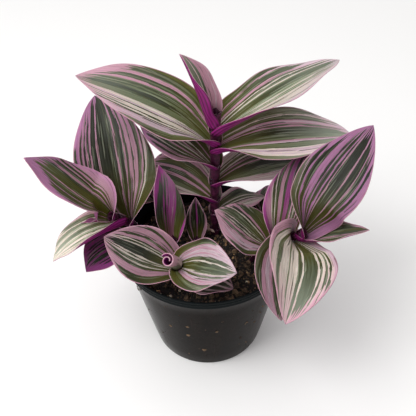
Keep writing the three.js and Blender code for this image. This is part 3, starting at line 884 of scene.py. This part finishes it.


# %% [markdown]
# ## Stripes
# The stripes run with the veins, so on the second map they are bands across the width, each a
# different colour. Every leaf is striped differently, so each has a word of letters, from its
# right margin to its left: D dark green, G green, g grey green, o olive, w whitish green,
# c cream, l pale lilac, p pink, q orchid, m magenta. A colour ramp holds the word. Noise that
# is long and thin, as the leaf's cells are, frays the bands' edges, and a pattern of long cells
# drops in the short pointed streaks of the wrong colour that such leaves have. The greens turn
# olive near the base. On the leaves that face the light, painted light makes them paler towards
# the tip, and past a ragged line one tint takes the tip.
#
# A row says: the word, how far the veins lean across the blade, how light the leaf is, where
# along it the stripes end, and the tint of what lies past that. How light a leaf is holds its
# own tone and painted light and shade: the leaves that face the light are made lighter, and the
# lower leaves darker where the upper ones shade them.

# %% Stripe words
PAINTS = {
    "D": "1F220F", "G": "3A4022", "g": "687052", "o": "505010", "w": "AEB49C",
    "c": "DACDC2", "l": "CCB4BE", "p": "C696A8", "q": "BE80AC", "m": "A23C8C",
}
STRIPES = {
    "main_1": ("ppppccccgcpcpGcgGcgGDDGDpc", 0.0, 0.8, 0.95, "p"),
    "main_2": ("cppGGoooGppGDGppGGGGggggccccpccc", 0.0, 0.75, 0.9, "p"),
    "main_3": ("cpccpcpcggGggGGDDDDDpGDpDcGgcGcc", 0.0, 0.75, 0.95, "l"),
    "main_4": ("GpGDoopoDGGpGDDcGpGcGDpGGcDDppGDpp", 0.0, 0.7, 0.86, "q"),
    "main_5": ("ggcclclllcGgggGlpggGGGDDDDGpGplpGgGcgGgg", 0.15, 1.35, 1.0, "l"),
    "main_6": ("oGgGgppGgGpgGgGgDDGggggcclGccGcGlllllggG", -0.15, 0.97, 0.96, "p"),
    "main_7": ("llcccccccccccgwgcwgwgGGGGgcGGcGppGGGGpGG", 0.05, 1.05, 0.95, "l"),
    "main_8": ("ppplppppppGGcGgggccGGpGGcGGgpGGcGGgp", 0.0, 1.2, 0.95, "p"),
    "main_9": ("mppmpGpm", 0.0, 1.0, 0.95, "q"),
    "left_1": ("mmmmmmDmmmDmDmmDmDDmmDDDDmmDmmDmmmmm", 0.3, 0.45, 0.85, "m"),
    "left_2": ("GgcGpgGppGppGpDDGpDDGDDDDDDpDDDpDpDpGpqG", 0.25, 0.78, 0.99, "q"),
    "left_3": ("pgGgcggwcgGgcwgccgwccgcwccwccwclcc", 0.0, 1.4, 1.0, "c"),
    "left_4": ("ppGppGGpDGGppDGGoooooooopogooGpGooGgpGgp", 0.4, 0.85, 0.86, "q"),
    "left_5": ("mpmmpm", 0.0, 0.8, 0.9, "m"),
    "right_1": ("GDGGGGppDDcGGgGGgGcDDcGppDDplplllpplgGGG", 0.2, 0.85, 0.9, "p"),
    "right_2": ("gGGGppplllppGGGgGDDGgGGcGDDGGpGGpGGG", 0.0, 0.75, 0.95, "p"),
    "right_3": ("pGDDmDDpDDpDDcDDpDDDmmmmGGpppGGGcGGcpp", -0.6, 0.88, 0.82, "m"),
    "right_4": ("pgccccgGgccccccgcccccGGcGGGGGGGcGccGcGcl", 0.1, 1.12, 0.96, "p"),
    "right_5": ("qqqDDqDDGpDGDDpDDDDDDpDqGDqDqqqqGDGqDGcg", 0.05, 0.69, 0.92, "q"),
    "right_6": ("pogcGooGocgppGGooGGGgGGcp", 0.0, 0.8, 0.95, "p"),
    "front_1": ("cGcGGcGGcGGccc", 0.0, 0.5, 0.95, "p"),
    "front_2": ("pGGpppppGGppGcGcDDDDDDcGcGGcGGpppppGGGGG", 0.05, 0.62, 0.93, "p"),
    "front_3": ("GGgggGplppllGGlcgGGGgGGGcGGGllpllpplpgGD", 0.1, 0.95, 0.93, "l"),
    "middle_1": ("DGGGGGGGmmmmmmmmmmDmmDDDmmDDDDDDDDDDDDDD", 0.5, 1.0, 0.88, "m"),
    "small_1": ("pDGDDmDGDpDD", 0.0, 0.6, 0.95, "p"),
    "rear_left_1": ("gGpcGDGcpGcGpGGDcGGp", 0.1, 0.8, 0.93, "p"),
    "rear_left_2": ("pGDcGpppcGDGcgpGGcDGGpGp", -0.1, 0.8, 0.93, "q"),
    "rear_left_3": ("pGcGDpGcpGGcpGD", 0.0, 0.8, 0.93, "p"),
    "rear_right_1": ("GgcpGDGcGpGGDpcG", 0.0, 0.8, 0.93, "q"),
    "rear_right_2": ("pGcpcGDDGcpGgpGGcDpGp", 0.1, 0.8, 0.93, "p"),
    "rear_right_3": ("pGcDGpGcpDGpG", 0.0, 0.8, 0.93, "q"),
}
print("striped leaves:", len(STRIPES))


# %% Bands of paint
def stripes(m, where, word):
    """Bands of paint from 0 to 1, one for each letter of the word."""
    ramp = m.add("ValToRGB", Fac=where)
    bands = ramp.color_ramp
    bands.interpolation = "CONSTANT"
    stops = [(i / len(word), c) for i, c in enumerate(word) if i == 0 or word[i - 1] != c]
    while len(bands.elements) < len(stops):
        bands.elements.new(0.5)
    for element, (position, letter) in zip(bands.elements, stops):
        element.position = position
        element.color = colour(PAINTS[letter])
    return ramp.outputs["Color"]


# %% Striped face
# The fifth number is the tone above which a leaf gets painted light towards its tip.
FRAY, END_RAGGED, END_BOW, END_WIDTH, PAINTED_LIGHT_FROM_TONE = 0.014, 0.1, 1.6, 0.03, 0.72
FINE_VEINS, HAIRLINE_FROM, HAIRLINE_FULL, SEED_STEP = 150.0, 0.486, 0.496, 4.7


def leaf_face(name, word, tone_and_painted_light, end, tint, seed):
    """The striped face of one leaf. The seed moves its noise, so that no two look alike."""
    m = Recipe("leaf_face_" + name)
    plain = m.mapped("UVMap")
    across, along, vein = plain["X"], plain["Y"], m.mapped("veins")["X"]

    def cells(wide, long, shift):
        """The place in long thin cells, so many across the leaf and so many along it."""
        x, y = m.times(vein, wide), m.times(along, long)
        return m.add("CombineXYZ", X=x, Y=y, Z=seed + shift).outputs[0]

    # The word, its bands' edges frayed, and how pale or how green each band is.
    fray = m.ranged(m.noise(cells(40, 5, 0.0), 1.0, 3), 0.25, 0.75, -FRAY, FRAY)
    base = stripes(m, m.plus(vein, fray), word)
    pale = m.ranged(m.add("RGBToBW", Color=base).outputs[0], 0.12, 0.3)
    green = m.maths("SUBTRACT", 1.0, pale)
    # Short streaks, light in the greens and dark in the pale bands.
    streaks = m.add("TexVoronoi", Vector=cells(56, 5.0, 3.1), Scale=1.0).outputs["Color"]
    luck = m.add("SeparateColor", Color=streaks).outputs
    in_green, in_pale = m.ranged(pale, 0.0, 1.0, 0.4, 0.0), m.ranged(pale, 0.0, 1.0, 0.0, 0.8)
    base = m.blend(m.times(m.ranged(luck["Red"], 0.88, 0.9), in_green), base, PAINTS["w"])
    base = m.blend(m.times(m.ranged(luck["Green"], 0.9, 0.92), in_pale), base, PAINTS["G"])
    # Fine dark veins everywhere, and a whitish haze on the greens of the lighter leaves, stronger the
    # more painted light the leaf's tone holds.
    fine = m.noise(cells(130, 6, 7.7), 1.0, 3, 0.7)
    base = m.blend(m.ranged(fine, 0.3, 0.7, 0.0, 0.6), base, "62624E", "MULTIPLY")
    haze = m.ranged(m.noise(cells(30, 4, 9.2), 1.0, 3, 0.65), 0.42, 0.7, 0.0, 0.3 * (tone_and_painted_light - 0.5))
    base = m.blend(m.times(haze, green), base, "8A9484", "SCREEN")
    # Painted light: on the leaves that face the light the greens grow paler towards the tip. The greens
    # are olive near the base.
    painted_light_to_tip = m.ranged(along, 0.35, 0.9, 0.0, max(tone_and_painted_light - PAINTED_LIGHT_FROM_TONE, 0.0), smooth=True)
    base = m.blend(m.times(painted_light_to_tip, green), base, "98A090")
    near_base = m.ranged(along, 0.05, 0.5, 0.55, 0.0, smooth=True)
    base = m.blend(m.times(near_base, green), base, "5A5610")
    # The tip's tint creeps into the pale bands, and takes all past a bowed and ragged line.
    off_vein = m.plus(vein, -0.5)
    bowed = m.plus(along, m.times(m.times(off_vein, off_vein), END_BOW))
    ragged = m.ranged(m.noise(cells(34, 1.5, 5.3), 1.0, 1), 0.3, 0.7, -END_RAGGED, END_RAGGED)
    tinge = m.ranged(bowed, 0.55, 0.95, 0.0, 0.45, smooth=True)
    base = m.blend(m.times(tinge, pale), base, PAINTS[tint])
    past_end = m.ranged(m.plus(bowed, ragged), end, end + END_WIDTH, 0.0, 0.85)
    base = m.blend(past_end, base, PAINTS[tint])
    # The whole leaf's lightness, its own tone with painted light and shade, and a pink hairline along
    # the margins.
    base = m.blend(1.0, base, (tone_and_painted_light, tone_and_painted_light, tone_and_painted_light, 1.0), "MULTIPLY")
    off_middle = m.maths("ABSOLUTE", m.plus(across, -0.5))
    base = m.blend(m.ranged(off_middle, HAIRLINE_FROM, HAIRLINE_FULL), base, "B88A9A")
    ribs = m.times(m.maths("SINE", m.times(vein, FINE_VEINS)), 0.35)
    m.bump(m.plus(ribs, fine), 0.00022, 0.55)
    return m.fleshy(base, m.ranged(fine, 0.2, 0.8, 0.55, 0.38), 0.22, 0.05)


# %% [markdown]
# The underside is one even magenta purple with darker ribs. The margin is a pale pink
# hairline, and the sheath is as dark as the stem. The withered leaf is the same on both
# sides: dry, papery and straw pink, with painted light that makes it paler than it is, as it
# sits in the shade of the leaves above.

# %% Underside, margin and sheath
def ribbed(name, dark, light, ribs, rough):
    """Two tones in lengthwise streaks, and fine ribs that are closer the higher their number."""
    m = Recipe(name)
    place = m.mapped("UVMap")
    across, along = place["X"], place["Y"]
    long = m.add("CombineXYZ", X=m.times(across, 40.0), Y=m.times(along, 3.0)).outputs[0]
    rib = m.ranged(m.maths("SINE", m.times(across, ribs)), -1.0, 1.0)
    share = m.plus(m.times(m.noise(long, 1.0, 3), 0.75), m.times(rib, 0.3))
    base = m.blend(m.ranged(share, 0.3, 0.8), dark, light)
    m.bump(share, 0.0002, 0.5)
    return m.fleshy(base, rough)


def plain_skin(name, dark, light, rough, scale):
    m = Recipe(name)
    mottle = m.noise(m.place(), scale, 3)
    base = m.blend(m.ranged(mottle, 0.35, 0.7), dark, light)
    m.bump(mottle, 0.0001, 0.4)
    return m.fleshy(base, rough)


underside = ribbed("magenta_underside", "4A0C36", "9C2480", 75.0, 0.38)
# The withered leaf's colours are lightened: painted light on a leaf that lies in shade.
dry_face_with_painted_light = ribbed("dry_papery_leaf", "AC8072", "F0DCCC", 60.0, 0.75)
margin = plain_skin("pink_margin", "B08094", "CFA8B2", 0.5, 500)
sheath_skin = plain_skin("sheath_skin", "2C0C20", "57203F", 0.42, 420)

for number, leaf in enumerate(leaves):
    name = leaf.name
    if name == "withered":
        piece = make_leaf(leaf, 0.0, [dry_face_with_painted_light, dry_face_with_painted_light, margin, sheath_skin])
        finish_piece(piece, "dry_leaf", "leaf_withered")
    else:
        word, lean, *look = STRIPES[name]
        face = leaf_face(name, word, *look, SEED_STEP * number)
        piece = make_leaf(leaf, lean, [face, underside, margin, sheath_skin])
        finish_piece(piece, "leaf", "leaf_" + name)

# %% [markdown]
# ## The rolled young leaf
# The front shoot's newest leaf is still rolled: one sheet wound round itself, opening to a
# spiral mouth with a pink rim. A sheet of rows up the bud, each row a spiral whose radius grows
# with the turn, gives the spiral for free.

# %% Rolled leaf
MOUTH = Vector((-21.5, -45, 109))
OVERLAP, TURNS, FOOT_SPREAD, INNER, MOUTH_R = 3.0, 1.45, 1.5, 1.3, 4.2
ROLL_STEPS, ROLL_SPANS, SOLID_THICK = 20, 84, 0.95


def make_rolled_leaf(finishes):
    line, radius = shoots["front"]
    tip = line.raw(1)
    path = Line(tip - line.tangent(1) * OVERLAP, tip, MOUTH)
    upper, lower, uv = [], [], []
    for i in range(ROLL_STEPS + 1):
        t = i / ROLL_STEPS
        along = path.tangent(t)
        side = Vector((0, 0, 1)).cross(along).normalized()
        up = along.cross(side)
        for j in range(ROLL_SPANS + 1):
            u = j / ROLL_SPANS
            angle = 2 * pi * TURNS * u
            narrow = radius + FIT_GAP + SOLID_THICK / 2 + FOOT_SPREAD * u
            wide = INNER + (MOUTH_R - INNER) * u
            reach = narrow * (1 - t) + wide * t
            ray = side * cos(angle) + up * sin(angle)
            thick = THICK + (MARGIN_THICK - THICK) * (2 * u - 1) ** 2
            upper.append(path.raw(t) + ray * (reach - thick / 2))
            lower.append(path.raw(t) + ray * (reach + thick / 2))
            uv.append((0.5 + 0.5 * u, 0.45 + 0.5 * t))
    faces, slots = sheet_faces(ROLL_STEPS, ROLL_SPANS, len(upper))
    maps = {"UVMap": uv + uv, "veins": uv + uv}
    points = [p * MM for p in (*upper, *lower)]
    return new_piece("rolled_leaf", points, faces, finishes, slots, maps)


rolled_face = ribbed("rolled_inside", "6E1560", "A83098", 60.0, 0.4)
rolled_back = leaf_face("rolled", "pcpgGcpcpgcp", 0.85, 1.0, "p", 77.0)
rolled_leaf = make_rolled_leaf([rolled_face, rolled_back, margin, sheath_skin])
finish_piece(rolled_leaf, "leaf", "leaf_front_4")

# %% [markdown]
# ## Hairs
# A tradescantia's sheaths carry a fringe of fine pale hairs round their rims. They repeat in
# their hundreds, so the scatter tree is used again: its bed is a band round each rim, its grain
# a thin spike, and its tilt is small, so that the hairs stand out from the band.

# %% Sheath hairs
HAIR_BAND, HAIR_ROOT_R, HAIR_TIP_R, SHORTEST_HAIR, LONGEST_HAIR = 1.4, 0.022, 0.004, 0.7, 1.6
HAIR_SPACING, HAIR_DENSITY, HAIR_TILT = 0.42, 6e6, 0.7


def hair_spike():
    """A three-sided spike one unit long, on its root."""
    shape = bmesh.new()
    bmesh.ops.create_cone(shape, cap_ends=True, segments=3, depth=1,
                          radius1=HAIR_ROOT_R, radius2=HAIR_TIP_R)
    bmesh.ops.translate(shape, verts=shape.verts, vec=(0, 0, 0.5))
    return from_shape("spike", shape)


def rim_bands():
    """One mesh with a band round the rim of every sheath, for the hairs to stand on."""
    points, faces = [], []
    for leaf in leaves:
        line, radius = shoots[leaf.on]
        first = len(points)
        for back, wide in ((HAIR_BAND, SHEATH_FOOT), (0.0, SHEATH_FOOT + SHEATH_WIDENING + RIM_FLARE)):
            t = leaf.at - back / line.length
            ring = ring_points(line.raw(t), line.tangent(t), radius + wide, SHEATH_SIDES)
            points += [p * MM for p in ring]
        faces += tube_faces(2, SHEATH_SIDES, first)
    return new_piece("rim_bands", points, faces, [])


spike, bands = hair_spike(), rim_bands()
hair_finish = plain_skin("pale_hair", "C8B0B8", "E8DCDC", 0.5, 900)
hairs = scatter("sheath_hairs", grain_tree, bands, Grain=spike, Density=HAIR_DENSITY,
                Smallest=SHORTEST_HAIR * MM, Largest=LONGEST_HAIR * MM, Spacing=HAIR_SPACING * MM,
                Seed=12, Tilt=HAIR_TILT, Finish=hair_finish)
for helper in (spike, bands):
    bpy.data.objects.remove(helper)
finish_piece(hairs, "leaf")
